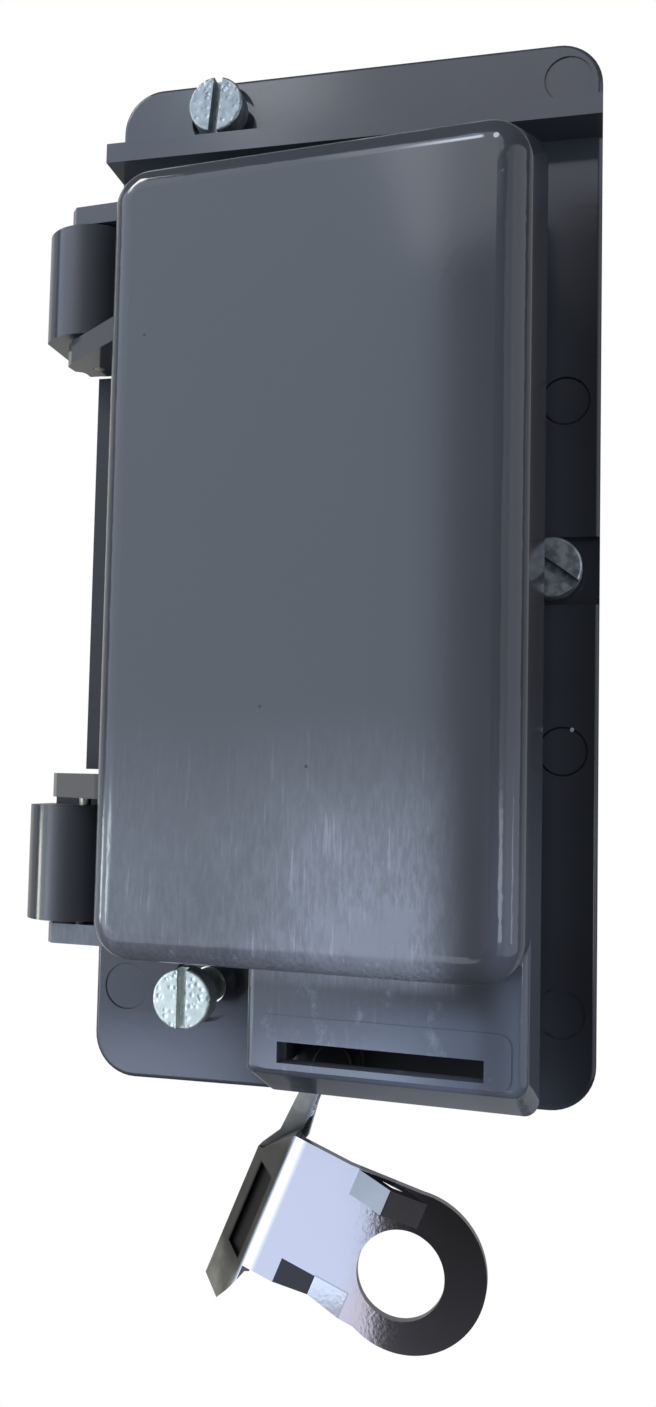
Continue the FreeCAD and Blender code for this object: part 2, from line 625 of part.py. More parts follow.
recess = level_outline(hasp, "flange_recess_outline", "dims.recess_foot")
recess.polygon([on_flange("dims.recess_left", "-1"), on_flange("dims.recess_right", "-1"),
                on_flange("dims.recess_right", "dims.recess_depth"),
                on_flange("dims.recess_left", "dims.recess_depth")])
grow(hasp, recess, "flange_recess", "dims.recess_head - dims.recess_foot", cut=True, backwards=True)
plate_outline = front_outline(hasp, "hasp_plate_outline", PLATE_BACK)
plate_outline.polygon([("0", "dims.bend_bottom"), ("dims.end_side", "dims.bend_bottom"),
                       ("dims.end_side", "dims.end_level + dims.end_radius"),
                       ("dims.upper_bump - 1.5", "dims.bend_top"), ("0", "dims.bend_top")])
grow(hasp, plate_outline, "hasp_plate", "dims.sheet")
end = front_outline(hasp, "hasp_end_outline", PLATE_BACK)
end.circle("dims.end_side", "dims.end_level", "dims.end_radius")
grow(hasp, end, "hasp_end", "dims.sheet")

BUMPS = [("upper", "dims.upper_bump", "dims.upper_bump_wide", "dims.bump_deep",
          "dims.bend_top - dims.bump_tall", "0"),
         ("lower", "dims.lower_bump", "dims.lower_bump_wide", "-dims.bump_deep",
          "dims.bend_bottom", "dims.bump_tall")]
for word, left, wide, deep, low, below in BUMPS:
    window = front_outline(hasp, word + "_window_outline", PLATE_BACK + " + 2 * dims.sheet")
    window.rectangle(left, left + " + " + wide, low + " - " + below, low + " + dims.bump_tall")
    grow(hasp, window, word + "_window", "3 * dims.sheet", cut=True)
    bump = level_outline(hasp, word + "_bump_outline", low)
    bump.polygon([(left + " - 0.2", "-(" + PLATE_BACK + ")"),
                  (left + " + " + wide + " / 2", "-(" + PLATE_BACK + " + (" + deep + "))"),
                  (left + " + " + wide + " + 0.2", "-(" + PLATE_BACK + ")"),
                  (left + " + " + wide + " + 0.2", "-(" + PLATE_BACK + " + dims.sheet)"),
                  (left + " + " + wide + " / 2",
                   "-(" + PLATE_BACK + " + dims.sheet + (" + deep + "))"),
                  (left + " - 0.2", "-(" + PLATE_BACK + " + dims.sheet)")])
    grow(hasp, bump, word + "_bump", "dims.bump_tall")

eye = front_outline(hasp, "hasp_eye_outline", PLATE_BACK + " + 2 * dims.sheet")
eye.circle("dims.eye_side", "dims.eye_level", "dims.eye_radius")
grow(hasp, eye, "hasp_eye", "3 * dims.sheet", cut=True)
tail = front_outline(hasp, "tail_outline", HASP_BACK)
tail.circle("0", "0", "dims.tail_eye")
grow(hasp, tail, "tail_eye", "dims.sheet")
neck = front_outline(hasp, "neck_outline", HASP_BACK)
neck.polygon([("dims.tail_side - dims.tail_wide", "0"), ("dims.tail_side", "0"),
              ("dims.tail_side", "-dims.tail_eye * 2"), ("0.8", "dims.bend_top - 2"),
              ("dims.flange_side + 1.6", "dims.flange_top - 4"),
              ("dims.flange_side - 0.8", "dims.flange_top - 1.5"),
              ("dims.flange_side - 0.8", "dims.flange_top"),
              ("dims.tail_side - dims.tail_wide - 1", "-dims.tail_eye * 4")])
grow(hasp, neck, "neck", "dims.sheet")
pivot = front_outline(hasp, "pivot_outline", TAIL_FRONT + " + dims.sheet")
pivot.circle("0", "0", "dims.rivet_radius + dims.rivet_play")
grow(hasp, pivot, "pivot_hole", "3 * dims.sheet", cut=True)
hasp.setExpression("Placement.Base.x", "dims.rivet_side")
hasp.setExpression("Placement.Base.z", "dims.rivet_level")
hasp.Placement.Rotation = FreeCAD.Rotation(FreeCAD.Vector(0, 1, 0), number("dims.hasp_angle"))

rivet = body("hasp_rivet")
stem = front_outline(rivet, "stem_outline", "dims.tip_gap")
stem.circle("dims.rivet_side", "dims.rivet_level", "dims.rivet_radius")
STEM_END = TAIL_FRONT + " + dims.rivet_play + dims.washer_thick"
grow(rivet, stem, "stem", STEM_END + " - dims.tip_gap")
button = front_outline(rivet, "button_outline", STEM_END)
button.circle("dims.rivet_side", "dims.rivet_level", "dims.rivet_head")
rivet_top = grow(rivet, button, "button", "dims.rivet_head_tall")
button_y = -number(STEM_END + " + dims.rivet_head_tall")
soften(rivet, "button_rounding", rivet_top, "dims.rivet_head_tall / 2",
       lambda e: abs(edge_middle(e).y - button_y) < 0.01)

washer = body("hasp_washer")
ring = front_outline(washer, "washer_outline", TAIL_FRONT + " + dims.rivet_play")
ring.circle("dims.rivet_side", "dims.rivet_level", "dims.boss_radius")
ring.circle("dims.rivet_side", "dims.rivet_level", "dims.rivet_radius")
grow(washer, ring, "washer_ring", "dims.washer_thick")


# Terminal block: barrier moulding on the floor, four brass ways and their screws
block = body("terminal_block")
LOW = "dims.block_level - dims.block_tall / 2"
HIGH = "dims.block_level + dims.block_tall / 2"
slab = front_outline(block, "slab_outline", "dims.plate_thick")
slab.rounded("-dims.slab_half", "dims.slab_half", "dims.block_level - dims.block_tall / 4",
             "dims.block_level + dims.block_tall / 4", "dims.block_tall / 12")
grow(block, slab, "slab", "dims.slab_thick")
barrier = front_outline(block, "barrier_outline", "dims.plate_thick")
barrier.rectangle("-dims.block_half", "dims.block_half", LOW, HIGH)
grow(block, barrier, "barrier", "dims.block_rise")
ways = front_outline(block, "ways_outline", "dims.plate_thick + dims.block_rise")
for index in range(4):
    middle = "%.1f * dims.way_pitch" % (index - 1.5)
    ways.rectangle(middle + " - dims.way_wide / 2", middle + " + dims.way_wide / 2",
                   LOW + " - 1", HIGH + " + 1")
grow(block, ways, "ways", "dims.block_rise - dims.slab_thick", cut=True)
fixings = front_outline(block, "fixing_hole_outline", "dims.plate_thick + dims.slab_thick")
for side in ("-dims.fixing_side", "dims.fixing_side"):
    fixings.circle(side, "dims.block_level", "dims.fixing_radius + dims.pin_play")
grow(block, fixings, "fixing_holes", "dims.slab_thick", cut=True)

BRASS_BACK = "dims.plate_thick + dims.slab_thick"
BRASS_FRONT = BRASS_BACK + " + dims.brass_tall"
CLAMP_TIP = BRASS_FRONT + " - dims.clamp_long"
for index in range(4):
    name = "brass_terminal_%d" % (index + 1)
    middle = "%.1f * dims.way_pitch" % (index - 1.5)
    brass = body(name)
    bar = front_outline(brass, name + "_outline", BRASS_BACK)
    bar.rectangle(middle + " - dims.brass_wide / 2", middle + " + dims.brass_wide / 2",
                  "dims.block_level - dims.brass_long / 2",
                  "dims.block_level + dims.brass_long / 2")
    grow(brass, bar, name + "_bar", "dims.brass_tall")
    wire = level_outline(brass, name + "_wire_outline", "dims.block_level - dims.brass_long / 2")
    wire.circle(middle, "-(" + BRASS_BACK + " + dims.wire_radius + 0.8)", "dims.wire_radius")
    grow(brass, wire, name + "_wire_bore", "dims.brass_long", cut=True, backwards=True)
    taps = front_outline(brass, name + "_tap_outline", BRASS_FRONT)
    for sign in ("-", "+"):
        taps.circle(middle, "dims.block_level %s dims.clamp_spacing / 2" % sign,
                    "dims.clamp_radius + dims.pin_play")
    grow(brass, taps, name + "_taps", "dims.clamp_long + 0.2", cut=True)
    for word, sign in (("lower", "-"), ("upper", "+")):
        slotted_screw("clamp_screw_%s_%d" % (word, index + 1), middle,
                      "dims.block_level %s dims.clamp_spacing / 2" % sign, BRASS_FRONT,
                      CLAMP_TIP, "dims.clamp_radius", "dims.clamp_head",
                      "dims.clamp_head_tall", 25.0 * index)

for word, side in (("left", "-dims.fixing_side"), ("right", "dims.fixing_side")):
    slotted_screw("block_screw_" + word, side, "dims.block_level",
                  "dims.plate_thick + dims.slab_thick", "dims.tip_gap", "dims.fixing_radius",
                  "dims.fixing_head", "dims.clamp_head_tall", 60.0)


# Cable entry: a soft rubber grommet snapped into the hole in the floor
grommet = body("cable_grommet")
sleeve = front_outline(grommet, "sleeve_outline", "dims.tip_gap")
sleeve.circle("0", "dims.entry_level", "dims.entry_radius")
sleeve.circle("0", "dims.entry_level", "dims.grommet_bore")
grow(grommet, sleeve, "sleeve", "dims.plate_thick + dims.grommet_lip_thick - dims.tip_gap")
lip = front_outline(grommet, "lip_outline", "dims.plate_thick")
lip.circle("0", "dims.entry_level", "dims.entry_radius + dims.grommet_lip")
lip.circle("0", "dims.entry_level", "dims.grommet_bore")
grow(grommet, lip, "lip", "dims.grommet_lip_thick")


doc.recompute()
failed = [o.Name for o in doc.Objects if "Invalid" in o.State or "Error" in o.State]
if failed:
    raise RuntimeError("these objects failed: " + ", ".join(failed))
pieces = [o for o in doc.Objects if o.TypeId == "PartDesign::Body"]
for piece in pieces:
    if piece.Shape.isNull() or not piece.Shape.isValid():
        raise RuntimeError(piece.Label + " has no valid shape")
os.makedirs("parts", exist_ok=True)
for piece in pieces:
    piece.Shape.exportStep("parts/%s.step" % piece.Label)
    print(piece.Label, len(piece.Shape.Solids), "solid, volume", round(piece.Shape.Volume, 1), "mm3")
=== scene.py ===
import bpy
import math
from mathutils import Matrix, Vector

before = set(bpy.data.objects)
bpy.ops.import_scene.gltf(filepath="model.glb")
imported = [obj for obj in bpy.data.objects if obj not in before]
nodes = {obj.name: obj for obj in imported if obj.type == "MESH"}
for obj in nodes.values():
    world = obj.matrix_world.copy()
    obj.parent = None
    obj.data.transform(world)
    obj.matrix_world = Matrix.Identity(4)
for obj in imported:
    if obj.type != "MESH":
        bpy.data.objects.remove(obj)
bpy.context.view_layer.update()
scene = bpy.context.scene


# Base: one moulding of grey plastic, with the flat plate, the rain ledge, the hinge knuckles and
# the upstand round the wiring, held to the wall by three screws. It is glossy from the mould and
# faintly mottled where the plastic flowed; beside the cover and behind its step it is darkened with
# painted shade.
class Pattern:
    """What one socket of a node gives. Arithmetic on it adds Math nodes."""

    def __init__(self, recipe, socket):
        self.recipe = recipe
        self.socket = socket

    def maths(self, operation, first, second, clamp=False):
        settings = {"operation": operation, "use_clamp": clamp}
        return self.recipe.node("ShaderNodeMath", settings, {0: first, 1: second})

    def __add__(self, other):
        return self.maths("ADD", self, other)

    def __radd__(self, other):
        return self.maths("ADD", other, self)

    def __sub__(self, other):
        return self.maths("SUBTRACT", self, other)

    def __rsub__(self, other):
        return self.maths("SUBTRACT", other, self)

    def __mul__(self, other):
        return self.maths("MULTIPLY", self, other)

    def __rmul__(self, other):
        return self.maths("MULTIPLY", other, self)

    def root(self):
        """The square root."""
        return self.maths("SQRT", self, 0.0)

    def clamp(self):
        """The value, kept between 0 and 1."""
        return self.maths("ADD", self, 0.0, clamp=True)

    def above(self, start, end):
        """0 up to start and 1 from end. Between them 3 t t - 2 t t t, with t the share gone."""
        sockets = {"Value": self, "From Min": start, "From Max": end}
        return self.recipe.node("ShaderNodeMapRange", {"interpolation_type": "SMOOTHSTEP"}, sockets)

    def below(self, start, end):
        """1 up to start and 0 from end: 1 less the value of above."""
        return 1.0 - self.above(start, end)

    def band(self, start, full, fade, end):
        """0 up to start, 1 from full to fade, and 0 again from end: above times below."""
        return self.above(start, full) * self.below(fade, end)


class Recipe:
    """The nodes of a finish or of the surroundings."""

    def __init__(self, owner):
        owner.use_nodes = True
        self.tree = owner.node_tree

    def feed(self, socket, value):
        """Link a pattern to a socket, or set the socket's own number, vector or colour."""
        if isinstance(value, Pattern):
            self.tree.links.new(value.socket, socket)
        elif socket.type == "RGBA":
            socket.default_value = (*value, 1.0)
        else:
            socket.default_value = value

    def node(self, kind, settings, sockets, output=0):
        """Add a node, with its settings first and then what its sockets take."""
        added = self.tree.nodes.new(kind)
        for name, value in settings.items():
            setattr(added, name, value)
        for name, value in sockets.items():
            self.feed(added.inputs[name], value)
        return Pattern(self, added.outputs[output])


class Finish(Recipe):
    """A material that places its marks by the piece's own x, y and z in metres."""

    def __init__(self, name):
        self.material = bpy.data.materials.new(name)
        super().__init__(self.material)
        self.shader = self.tree.nodes["Principled BSDF"]
        self.place = self.node("ShaderNodeTexCoord", {}, {}, "Object")
        self.x = self.node("ShaderNodeSeparateXYZ", {}, {0: self.place}, "X")
        self.y = self.node("ShaderNodeSeparateXYZ", {}, {0: self.place}, "Y")
        self.z = self.node("ShaderNodeSeparateXYZ", {}, {0: self.place}, "Z")

    def coat(self, **parts):
        """Feed the shader's sockets. Base_Color stands for Base Color, and so on."""
        for name, value in parts.items():
            self.feed(self.shader.inputs[name.replace("_", " ")], value)

    def noise(self, scale, detail=2.0, stretch=(1.0, 1.0, 1.0), shift=(0.0, 0.0, 0.0), rough=0.5):
        """Soft noise from 0 to 1, scale bumps to the metre, at the place times stretch plus shift."""
        sockets = {"Vector": self.place, "Scale": stretch, "Location": shift}
        point = self.node("ShaderNodeMapping", {}, sockets)
        sockets = {"Vector": point, "Scale": scale, "Detail": detail, "Roughness": rough}
        return self.node("ShaderNodeTexNoise", {}, sockets)

    def away(self, x, z):
        """Distance from a point in the front view: root of dx dx + dz dz."""
        across = self.x - x
        upward = self.z - z
        return (across * across + upward * upward).root()

    def spot(self, x, z, radius):
        """1 in a round spot of the front view, softer over the outer 30% of its radius."""
        return self.away(x, z).below(radius * 0.7, radius)

    def mix(self, share, first, second):
        """Two colours blended: first times (1 - share), plus second times share."""
        first_colour, second_colour, mixed_colour = 6, 7, 2
        sockets = {"Factor": share, first_colour: first, second_colour: second}
        return self.node("ShaderNodeMix", {"data_type": "RGBA"}, sockets, mixed_colour)

    def bump(self, height, metres):
        """Make the surface look raised by height times metres."""
        self.coat(Normal=self.node("ShaderNodeBump", {}, {"Height": height, "Distance": metres}))


def dress(finish, names, crease=24.0):
    """Give CAD pieces a finish, smooth where faces meet at less than crease degrees."""
    for name in names:
        piece = nodes[name]
        piece.data.materials.clear()
        piece.data.materials.append(finish.material)
        piece.data.shade_smooth()
        edges = piece.modifiers.new("edges", "EDGE_SPLIT")
        edges.split_angle = math.radians(crease)


moulding = Finish("base_plastic")
x, y, z = moulding.x, moulding.y, moulding.z
mottle = moulding.noise(60.0, 4.0)
flow_lines = moulding.noise(90.0, 3.0, stretch=(1.0, 1.0, 0.12))
plate_front = y.below(-0.0030, -0.0020)
tone = (mottle * 0.6 + flow_lines * 0.4).above(0.35, 0.65)
colour = moulding.mix(tone, (0.043, 0.046, 0.056), (0.049, 0.053, 0.063))

# Painted shade: the knuckles are darkened on their side towards the cover and in the gap at the lower
# ear, where the cover shades them, and the same mask roughens them as dust. The plate is darkened
# along its right edge as the cover's painted shadow
knuckles = y.below(-0.0085, -0.0065) * x.below(-0.036, -0.035) * z.below(0.060, 0.062)
lower_gap = z.band(-0.0423, -0.0421, -0.0404, -0.0402)
knuckle_shade_and_dust = knuckles * (lower_gap + x.above(-0.0490, -0.0430)).clamp()
right_edge_shadow = x.above(0.034, 0.044) * z.below(0.060, 0.066)
colour = moulding.mix((right_edge_shadow * 0.7 + knuckle_shade_and_dust * 0.9).clamp(), colour, (0.008, 0.009, 0.012))

# Dirt has settled unevenly in the rims of the ejector marks
mark_side = 0.0377
mark_radius = 0.004
lowest_mark = -0.0742
marks = [(-mark_side, lowest_mark)]
marks += [(mark_side, level) for level in (0.0836, 0.0275, -0.0315, lowest_mark)]
rims = 0.0
for side, level in marks:
    past_rim = moulding.away(side, level) - mark_radius
    rims = rims + past_rim.band(-0.00030, -0.00005, 0.00005, 0.00020)
colour = moulding.mix(rims * flow_lines.above(0.42, 0.55) * plate_front, colour, (0.003, 0.003, 0.004))

# Two small light spots on the plate are painted glints, and the plate behind the cover's step is
# painted black as painted shade
painted_glints = moulding.spot(-0.0230, 0.0774, 0.0006) + moulding.spot(0.0392, -0.0279, 0.0004)
colour = moulding.mix(painted_glints * plate_front, colour, (0.60, 0.62, 0.64))
step_shade = x.band(-0.0070, -0.0060, 0.0330, 0.0345) * z.band(-0.0880, -0.0870, -0.0660, -0.0620)
step_shade = step_shade * plate_front
moulding.coat(Base_Color=moulding.mix(step_shade, colour, (0.003, 0.003, 0.003)))
moulding.coat(Roughness=mottle * 0.10 + step_shade * 0.7 + knuckle_shade_and_dust * 0.45 + 0.10)
moulding.bump(moulding.noise(900.0, 3.0), 0.000005)
dress(moulding, ["base"])


# Wall screws: slotted cheese-head screws of zinc-plated steel, driven through the base's plate
# but not home, so that their heads stand proud. The plating is cloudy, with small spangles.
def spangles(finish, scale):
    """Distance to the nearest of scattered points, scale of them to the metre."""
    sockets = {"Vector": finish.place, "Scale": scale}
    return finish.node("ShaderNodeTexVoronoi", {}, sockets, "Distance")


zinc = Finish("zinc_plate")
spangle = spangles(zinc, 900.0)
grain = zinc.noise(700.0, 4.0)
plating = zinc.mix(grain.above(0.35, 0.65), (0.40, 0.44, 0.46), (0.62, 0.67, 0.68))
plating = zinc.mix(zinc.z.below(-0.05, 0.0) * 0.6, plating, (0.70, 0.76, 0.66))
plating = zinc.mix(zinc.z.above(0.0, 0.05) * 0.6, plating, (0.12, 0.14, 0.16))
zinc.coat(Base_Color=plating, Metallic=0.85)
zinc.coat(Roughness=spangle * 0.25 + grain * 0.2 + 0.22)
zinc.bump(spangle.above(0.0, 0.5) + grain, 0.00008)
dress(zinc, ["top_wall_screw", "bottom_wall_screw"])

# Right wall screw: the same kind of screw, also driven through the plate, but of older steel
# that has gone dark and patchy with dirt.
dark_steel = Finish("dark_steel")
dirt = dark_steel.noise(600.0, 4.0)
bare = dark_steel.mix(dirt.above(0.35, 0.65), (0.22, 0.24, 0.25), (0.42, 0.46, 0.47))
dark_steel.coat(Base_Color=bare, Metallic=0.85, Roughness=dirt * 0.3 + 0.25)
dress(dark_steel, ["right_wall_screw"])

# Terminal block: a cream barrier moulding on the base's floor, fixed by two zinc-plated screws.
# It has four ways, each a turned brass body with two plated clamp screws for the wires.
ways = range(1, 5)
cream = Finish("block_plastic")
cream_colour = cream.mix(cream.noise(80.0, 3.0), (0.55, 0.52, 0.44), (0.62, 0.59, 0.50))
cream.coat(Base_Color=cream_colour, Roughness=0.5)
dress(cream, ["terminal_block"])
brass = Finish("terminal_brass")
brass_colour = brass.mix(brass.noise(300.0, 3.0), (0.55, 0.38, 0.14), (0.70, 0.52, 0.24))
brass.coat(Base_Color=brass_colour, Metallic=1.0, Roughness=0.35)
dress(brass, ["brass_terminal_%d" % way for way in ways])
dress(zinc, ["clamp_screw_%s_%d" % (row, way) for row in ("lower", "upper") for way in ways])
dress(zinc, ["block_screw_left", "block_screw_right"])

# Cable grommet: a soft sleeve of black moulded rubber, snapped into the cable entry in the
# base's floor.
rubber = Finish("black_rubber")
rubber.coat(Base_Color=(0.02, 0.02, 0.021), Roughness=rubber.noise(400.0, 3.0) * 0.2 + 0.6)
dress(rubber, ["cable_grommet"])

# Hasp: one piece of chromed steel sheet, cut, folded and pressed, with a tail, a flange and a
# plate with the padlock's eye. The plate is finely pitted, the tail and the flange are tarnished,
# the flange and its slot are darkened with painted shade, and the bend between them carries a painted
# white highlight.
hasp_crease = 9.0
chrome = Finish("chromed_sheet")

# The hasp's own directions: along it from the bend to the eye, and upwards to the rivet's level
rivet_x, rivet_z = 0.0007, -0.084
hang = math.radians(22.0)
from_rivet_x = chrome.x - rivet_x
from_rivet_z = chrome.z - rivet_z
along = from_rivet_x * math.cos(hang) - from_rivet_z * math.sin(hang)
upward = from_rivet_x * math.sin(hang) + from_rivet_z * math.cos(hang)
pits = chrome.noise(1500.0, 2.0)
smear = chrome.noise(120.0, 4.0)
past_bend = along.below(-0.0006, 0.0000)
metal = chrome.mix(along.above(0.0145, 0.0200), (0.36, 0.37, 0.42), (0.37, 0.33, 0.34))
tarnish = chrome.mix(smear.above(0.38, 0.62), (0.16, 0.155, 0.14), (0.34, 0.33, 0.295))
metal = chrome.mix(past_bend, metal, tarnish)
# Painted shade: the flange is darkened almost to black
flange = past_bend * upward.band(-0.0375, -0.0340, -0.0150, -0.0100)
metal = chrome.mix(flange * 0.85, metal, (0.050, 0.048, 0.046))
# Painted highlight: a white band along the bend
bend = along.band(-0.0002, 0.0002, 0.0008, 0.0022)
metal = chrome.mix(bend * 0.8, metal, (0.80, 0.80, 0.82))
strips = along.band(0.0110, 0.0114, 0.0170, 0.0174)
strips = strips * (upward.above(-0.0157, -0.0153) + upward.below(-0.0298, -0.0294))
metal = chrome.mix(strips * (smear * 0.5 + 0.4), metal, (0.14, 0.145, 0.14))
# Painted shade: the slot in the flange by the bend is painted near black
slot_shade = along.band(-0.0048, -0.0044, -0.0014, -0.0010)
slot_shade = slot_shade * upward.band(-0.0342, -0.0336, -0.0200, -0.0190)
chrome.coat(Base_Color=chrome.mix(slot_shade, metal, (0.022, 0.021, 0.022)), Metallic=1.0)
chrome.coat(Roughness=pits * 0.03 + smear * 0.03 + past_bend * 0.36 + 0.04)
chrome.bump(pits, 0.000004)
dress(chrome, ["hasp"], hasp_crease)

# Hasp rivet and washer: blackened steel, turned and stamped. The rivet is set in the base and
# holds the hasp's tail under the washer, hidden by the cover's step.
black_steel = Finish("black_steel")
black_steel.coat(Base_Color=(0.012, 0.012, 0.013), Metallic=0.6)
black_steel.coat(Roughness=black_steel.noise(500.0, 3.0) * 0.2 + 0.4)
dress(black_steel, ["hasp_rivet", "hasp_washer"], hasp_crease)

# Hinge pins: two lengths of drawn steel rod, a little yellowed, pushed through the cover's
# ears and the base's knuckles.
rod = Finish("pin_steel")
rod.coat(Base_Color=(0.42, 0.40, 0.33), Metallic=1.0, Roughness=rod.noise(800.0, 2.0) * 0.2 + 0.3)
dress(rod, ["upper_hinge_pin", "lower_hinge_pin"])

# Cover: one deep moulding of the same grey plastic, a domed lid with four hinge ears and a
# step with the hasp's slot. It hangs on the pins, glossy from the mould, and use has left a
# pale brushed haze over its foot.
lid = Finish("cover_plastic")
x, y, z = lid.x, lid.y, lid.z
cloud = lid.noise(45.0, 5.0)
colour = lid.mix(cloud, (0.048, 0.050, 0.057), (0.052, 0.054, 0.061))

# The haze grows towards the foot and the right, and stops at the roundings. The lid stands ajar,
# so its front face is found by a slanting depth
ajar_slope = math.tan(math.radians(5.0))
outside = (y + x * ajar_slope).below(-0.0325, -0.0318)
foot = z.below(-0.060, -0.024) * (z.above(-0.0690, -0.0655) * 0.9 + 0.1)
foot = foot * (x.above(-0.016, 0.014) * 1.2 + 0.62) * x.below(0.0170, 0.0262)
foot = foot * (outside + z.below(-0.0620, -0.0605)).clamp()
blotches = lid.noise(110.0, 6.0, (1.0, 1.0, 0.8), (7.0, 0.0, 0.0), 0.65).above(0.30, 0.70)
rubbing = lid.noise(1500.0, 4.0, stretch=(1.0, 1.0, 0.22), rough=0.65).above(0.36, 0.66)
haze = (foot * (blotches * 0.22 + rubbing * 0.22 + 0.34)).clamp()
colour = lid.mix(haze * 0.85, colour, (0.25, 0.265, 0.305))

# A thin film of dust on the step stops short of its top band, which is left darker as painted shade
# under the dome; the right rounding is lighter and bluer low down, and the step has scuffs
step_film = z.below(-0.0740, -0.0675) * x.below(0.025, 0.031)
step_film = step_film * (x.above(-0.004, 0.022) * 0.36 + 0.12)
low_right_tint = x.above(0.0270, 0.0320) * z.below(-0.060, -0.020) * 0.4
colour = lid.mix(step_film + low_right_tint, colour, (0.18, 0.21, 0.27))
scuffs = lid.noise(160.0, 6.0, (1.0, 1.0, 0.7), (5.0, 0.0, 2.0), 0.7).above(0.54, 0.70)
scuffs = scuffs * z.below(-0.0690, -0.0660) * x.below(0.028, 0.032)
colour = lid.mix(scuffs * 0.7, colour, (0.22, 0.25, 0.29))

# Painted warm light: the ear above the lower knuckle is tinted a warmer grey
warm_lit_ear = x.below(-0.0356, -0.0351) * z.band(-0.0460, -0.0450, -0.0340, -0.0330)
colour = lid.mix(warm_lit_ear * 0.35, colour, (0.15, 0.14, 0.12))

# Painted light on the top rounding: a pale painted reflection along its edge, and a painted streak of
# highlight and a painted glint at its right end
rim_highlight = z.band(0.0598, 0.0603, 0.0610, 0.0614) * x.above(-0.0340, -0.0330)
rim_highlight = rim_highlight * cloud.above(0.40, 0.60) * 0.8
streak_highlight = z.band(0.0568, 0.0570, 0.0572, 0.0574) * x.band(0.0110, 0.0245, 0.0262, 0.0268)
glint_highlight = lid.spot(0.0284, 0.0570, 0.0005)
colour = lid.mix((rim_highlight + streak_highlight + glint_highlight).clamp(), colour, (0.45, 0.47, 0.49))
hairlines = lid.noise(1700.0, 2.0, (1.0, 1.0, 0.06), (3.0, 0.0, 1.0)).above(0.60, 0.72)
colour = lid.mix((foot * hairlines * blotches * 0.55).clamp(), colour, (0.34, 0.36, 0.39))

# Three dark specks are moulded in, and the inside of the step is painted black as painted shade
speck_radius = 0.0003
specks = 0.0
for speck_x, speck_z in ((-0.0060, -0.0262), (0.0015, -0.0350), (-0.0270, 0.0327)):
    specks = specks + lid.spot(speck_x, speck_z, speck_radius)
colour = lid.mix(specks.clamp(), colour, (0.01, 0.01, 0.012))
step_hollow = x.band(-0.0065, -0.0060, 0.0325, 0.0330) * z.band(-0.0832, -0.0828, -0.0640, -0.0620)
step_hollow = step_hollow * y.above(-0.0203, -0.0198)
lid.coat(Base_Color=lid.mix(step_hollow, colour, (0.002, 0.002, 0.002)))
lid.coat(Roughness=cloud * 0.05 + haze * 0.16 + step_hollow * 0.7 + 0.09)
lid.bump(lid.noise(700.0, 3.0), 0.000004)
dress(lid, ["cover"])


# Floor: a plain pale sheet well below the box. The camera sees it white, and the box mirrors
# it as dull grey.
def split_view(recipe, output, mirrored, seen):
    """Give camera rays the seen shader, and every other ray the mirrored one."""
    camera_ray = recipe.node("ShaderNodeLightPath", {}, {}, "Is Camera Ray")
    either = recipe.node("ShaderNodeMixShader", {}, {0: camera_ray, 1: mirrored, 2: seen})
    recipe.feed(recipe.tree.nodes[output].inputs["Surface"], either)


floor_half = 4.0
floor_level = -0.6
corner_signs = ((-1, -1), (1, -1), (1, 1), (-1, 1))
corners = [(floor_half * across, floor_half * deep, floor_level) for across, deep in corner_signs]
floor_mesh = bpy.data.meshes.new("floor")
floor_mesh.from_pydata(corners, [], [range(4)])
floor = bpy.data.objects.new("floor", floor_mesh)
scene.collection.objects.link(floor)
sheet = Finish("floor_paint")
sheet.coat(Base_Color=(0.18, 0.18, 0.18), Roughness=0.9)
dull = Pattern(sheet, sheet.shader.outputs[0])
split_view(sheet, "Material Output", dull, sheet.node("ShaderNodeEmission", {}, {}))
floor_mesh.materials.append(sheet.material)

# Surroundings: an even white behind the box for the camera, and dim bluish grey in all that
# the box mirrors.
world = bpy.data.worlds.new("studio")
scene.world = world
air = Recipe(world)
backdrop = air.tree.nodes["Background"]
air.feed(backdrop.inputs["Color"], (1.0, 1.0, 1.0))
gloom = air.node("ShaderNodeBackground", {}, {"Color": (0.075, 0.085, 0.10)})
split_view(air, "World Output", gloom, Pattern(air, backdrop.outputs[0]))


# Lamps: flat studio panels, hung round the box. The large soft ones show as tones in the
# gloss, and the small strong ones as bright lines, with the shadows on the plate.
def toward(bearing, elevation):
    """The unit vector (sin b cos e, -cos b cos e, sin e), b to the right and e upwards."""
    b = math.radians(bearing)
    e = math.radians(elevation)
    return Vector((math.sin(b) * math.cos(e), -math.cos(b) * math.cos(e), math.sin(e)))


def panel(name, bearing, lowest, highest, distance, width, turn, radiance, colour):
    """A flat lamp. Its right edge stands at a bearing, from the lowest to the highest elevation in
    degrees, its width spreads to the left, and it faces the box from the bearing turn. Its power
    is radiance times 4 times its area."""
    start = toward(bearing, lowest) * distance
    end = toward(bearing, highest) * distance
    rise = (end - start).normalized()
    facing = toward(turn, 0.0)
    facing = (facing - rise * facing.dot(rise)).normalized()
    side = rise.cross(facing)
    lamp = bpy.data.lights.new(name, "AREA")
    lamp.shape = "RECTANGLE"
    lamp.size = width
    lamp.size_y = (end - start).length
    lamp.energy = radiance * 4.0 * lamp.size * lamp.size_y
    lamp.color = colour
    holder = bpy.data.objects.new(name, lamp)
    scene.collection.objects.link(holder)
    centre = (start + end) / 2 - side * (width / 2)
    facing_turn = Matrix((side, rise, facing)).transposed().to_4x4()
    holder.matrix_world = Matrix.Translation(centre) @ facing_turn
    holder.visible_camera = False


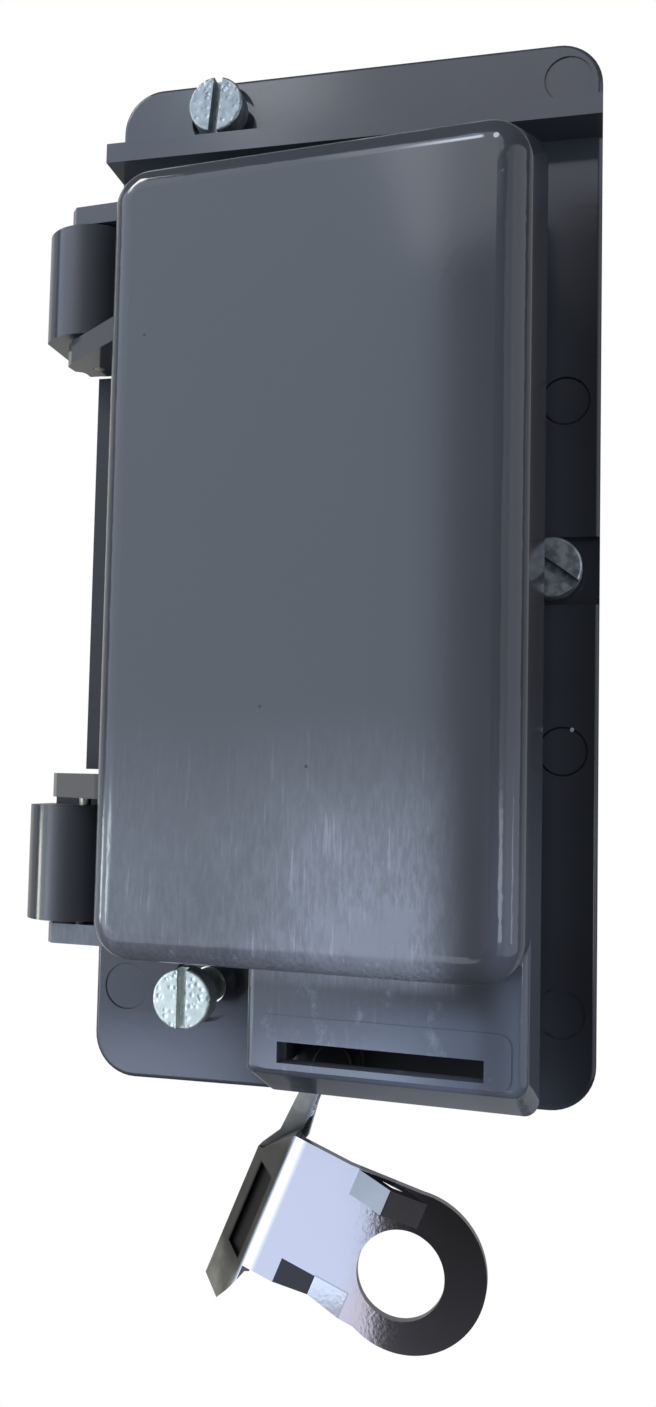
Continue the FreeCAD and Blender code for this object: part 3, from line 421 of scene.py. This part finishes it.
# A broad panel on the left lights the lid up to a line near its right edge. A bluish strip
# under it shows in the foot of the plate, and a low panel, further right, in the hasp
panel("side_panel", bearing=-15.7, lowest=-12.3, highest=50.0, distance=1.2, width=1.1, turn=-40.0,
      radiance=1.6, colour=(0.76, 0.88, 1.04))
panel("blue_strip", bearing=-17.0, lowest=-20.3, highest=-15.8, distance=1.2, width=0.2, turn=-40.0,
      radiance=3.2, colour=(0.90, 1.05, 1.45))
panel("low_panel", bearing=-9.6, lowest=-42.0, highest=-20.5, distance=1.2, width=1.1, turn=-35.0,
      radiance=1.35, colour=(0.90, 0.97, 1.15))
# A panel overhead shows in the upper right end of the lid and in the plate above the ledge
panel("top_panel", bearing=8.0, lowest=29.5, highest=52.0, distance=1.2, width=0.47, turn=-8.0,
      radiance=1.15, colour=(0.96, 0.97, 1.04))
# A small strong lamp, up on the left, throws the shadows of the screws
panel("key", bearing=-52.0, lowest=38.0, highest=58.0, distance=1.1, width=0.16, turn=-56.0,
      radiance=12.0, colour=(1.0, 0.98, 0.95))
# A tube overhead makes the bright line along the top rounding
panel("tube", bearing=-13.0, lowest=35.0, highest=35.8, distance=1.0, width=0.14, turn=-17.0,
      radiance=7.0, colour=(1.0, 1.0, 1.0))
# Four low lamps make the bright lines at the feet of the upright roundings and knuckles
panel("warm_lamp", bearing=-74.0, lowest=-13.0, highest=-5.0, distance=0.9, width=0.10, turn=-76.0,
      radiance=12.0, colour=(1.0, 1.0, 0.90))
panel("blue_lamp", bearing=-48.0, lowest=-13.0, highest=-5.0, distance=0.9, width=0.06, turn=-48.0,
      radiance=17.0, colour=(0.92, 0.98, 1.06))
panel("right_lamp", bearing=75.0, lowest=-13.0, highest=-4.0, distance=0.9, width=0.05, turn=75.0,
      radiance=3.0, colour=(0.9, 0.96, 1.1))
panel("broad_lamp", bearing=35.0, lowest=-13.0, highest=-4.0, distance=0.9, width=0.19, turn=29.0,
      radiance=3.0, colour=(0.9, 0.96, 1.1))
# Two panels on the far right show in the right rounding, brighter towards its edge
panel("far_right", bearing=102.0, lowest=-25.0, highest=32.0, distance=1.0, width=1.2, turn=65.0,
      radiance=0.50, colour=(0.92, 0.96, 1.08))
panel("far_edge", bearing=102.0, lowest=-25.0, highest=32.0, distance=1.1, width=0.85, turn=65.0,
      radiance=0.30, colour=(0.92, 0.96, 1.08))
# A warm panel shows in the left edges of the lid and the knuckles, and a pale one behind the
# box in what is seen edge-on
panel("warm_panel", bearing=-92.0, lowest=-25.0, highest=40.0, distance=1.1, width=1.1, turn=-115.0,
      radiance=0.30, colour=(1.0, 0.98, 0.90))
panel("back_panel", bearing=-110.6, lowest=-8.0, highest=37.0, distance=1.6, width=2.4, turn=180.0,
      radiance=0.20, colour=(1.0, 1.0, 1.0))

# Camera: close to the box, a little below its middle and to the right of it, turned to the
# left and tilted slightly up.
film_height = 36.0
focal_pixels, frame_pixels = 1182.55, 1407.0
camera_place = (0.04337, -0.20319, -0.03631)
yaw, pitch, roll = -0.225, 0.061, 0.021
camera = bpy.data.cameras.new("camera")
camera.sensor_width = film_height
camera.lens = focal_pixels * film_height / frame_pixels
camera.clip_start = 0.01
forward = Vector((math.sin(yaw) * math.cos(pitch), math.cos(yaw) * math.cos(pitch), math.sin(pitch)))
level = Vector((math.cos(yaw), -math.sin(yaw), 0.0))
upright = level.cross(forward)
right = level * math.cos(roll) + upright * math.sin(roll)
up = upright * math.cos(roll) - level * math.sin(roll)
camera_turn = Matrix((right, up, -forward)).transposed().to_4x4()
eye = bpy.data.objects.new("camera", camera)
eye.matrix_world = Matrix.Translation(camera_place) @ camera_turn
scene.collection.objects.link(eye)
scene.camera = eye
scene.view_settings.view_transform = "Standard"
